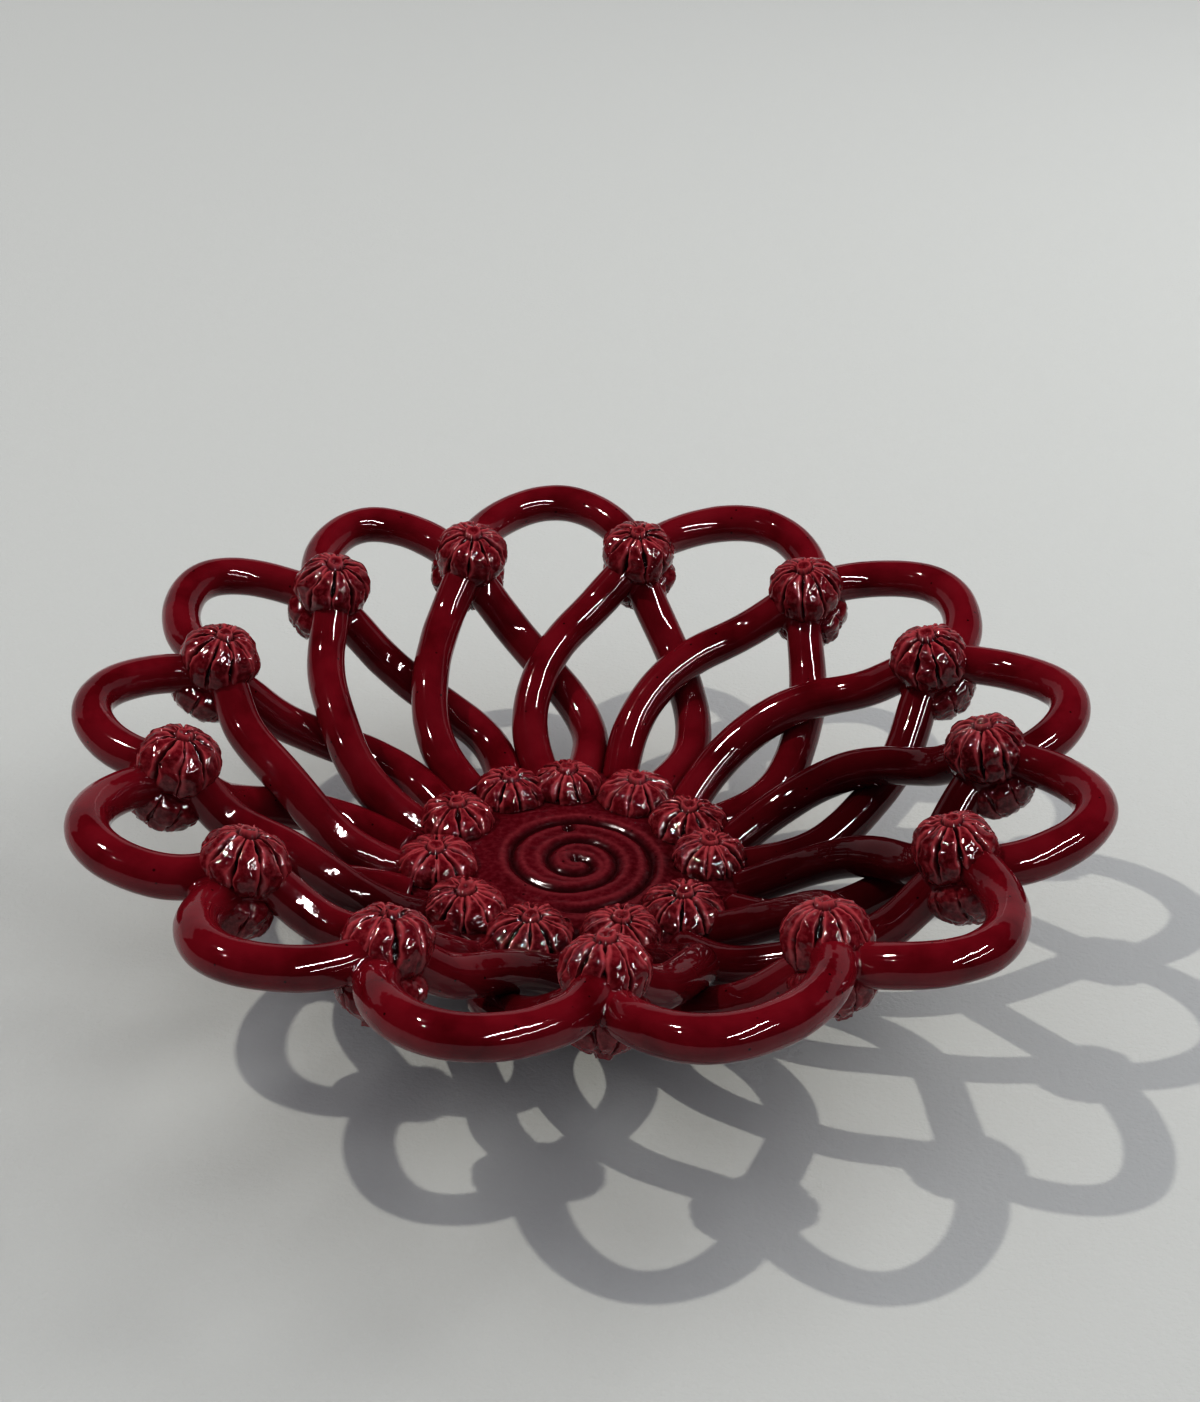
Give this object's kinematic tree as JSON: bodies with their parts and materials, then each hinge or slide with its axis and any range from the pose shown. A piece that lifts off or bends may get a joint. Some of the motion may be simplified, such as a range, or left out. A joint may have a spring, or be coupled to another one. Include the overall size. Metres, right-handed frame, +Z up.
{
  "type": "openwork pottery bowl",
  "caption": "Shallow round openwork bowl of woven, looped clay coils with a petalled rim, gadrooned rosettes at the crossings, a spiral floor and a foot ring, for fruit or display.",
  "frame": {"origin": "on the surface the bowl stands on, under the middle of its rim", "axes": "+Z up; +X to the right and -Y towards the viewer in the picture; the bowl is round about +Z"},
  "size_m": [0.389, 0.4002, 0.1079],
  "materials": {
    "coil_glaze": "very glossy oxblood glaze over rolled earthenware coils, nearly black where it pools",
    "rosette_glaze": "the same glaze, lighter and pinker on the thin ridges, dark in the grooves",
    "floor_glaze": "the same glaze, pooled dark between the spiral's ridges",
    "foot_glaze": "the same glaze, wiped off the bare clay edge that stands on the table"
  },
  "bodies": {
    "root": {"petal_coil_01": "coil_glaze", "petal_coil_02": "coil_glaze", "petal_coil_03": "coil_glaze", "petal_coil_04": "coil_glaze", "petal_coil_05": "coil_glaze", "petal_coil_06": "coil_glaze", "petal_coil_07": "coil_glaze", "petal_coil_08": "coil_glaze", "petal_coil_09": "coil_glaze", "petal_coil_10": "coil_glaze", "petal_coil_11": "coil_glaze", "petal_coil_12": "coil_glaze", "petal_coil_13": "coil_glaze", "rim_rosette_upper_01": "rosette_glaze", "rim_rosette_upper_02": "rosette_glaze", "rim_rosette_upper_03": "rosette_glaze", "rim_rosette_upper_04": "rosette_glaze", "rim_rosette_upper_05": "rosette_glaze", "rim_rosette_upper_06": "rosette_glaze", "rim_rosette_upper_07": "rosette_glaze", "rim_rosette_upper_08": "rosette_glaze", "rim_rosette_upper_09": "rosette_glaze", "rim_rosette_upper_10": "rosette_glaze", "rim_rosette_upper_11": "rosette_glaze", "rim_rosette_upper_12": "rosette_glaze", "rim_rosette_upper_13": "rosette_glaze", "rim_rosette_lower_01": "rosette_glaze", "rim_rosette_lower_02": "rosette_glaze", "rim_rosette_lower_03": "rosette_glaze", "rim_rosette_lower_04": "rosette_glaze", "rim_rosette_lower_05": "rosette_glaze", "rim_rosette_lower_06": "rosette_glaze", "rim_rosette_lower_07": "rosette_glaze", "rim_rosette_lower_08": "rosette_glaze", "rim_rosette_lower_09": "rosette_glaze", "rim_rosette_lower_10": "rosette_glaze", "rim_rosette_lower_11": "rosette_glaze", "rim_rosette_lower_12": "rosette_glaze", "rim_rosette_lower_13": "rosette_glaze", "floor_rosette_01": "rosette_glaze", "floor_rosette_02": "rosette_glaze", "floor_rosette_03": "rosette_glaze", "floor_rosette_04": "rosette_glaze", "floor_rosette_05": "rosette_glaze", "floor_rosette_06": "rosette_glaze", "floor_rosette_07": "rosette_glaze", "floor_rosette_08": "rosette_glaze", "floor_rosette_09": "rosette_glaze", "floor_rosette_10": "rosette_glaze", "floor_rosette_11": "rosette_glaze", "floor_disc": "floor_glaze", "foot_ring": "foot_glaze"}
  },
  "joints": []
}
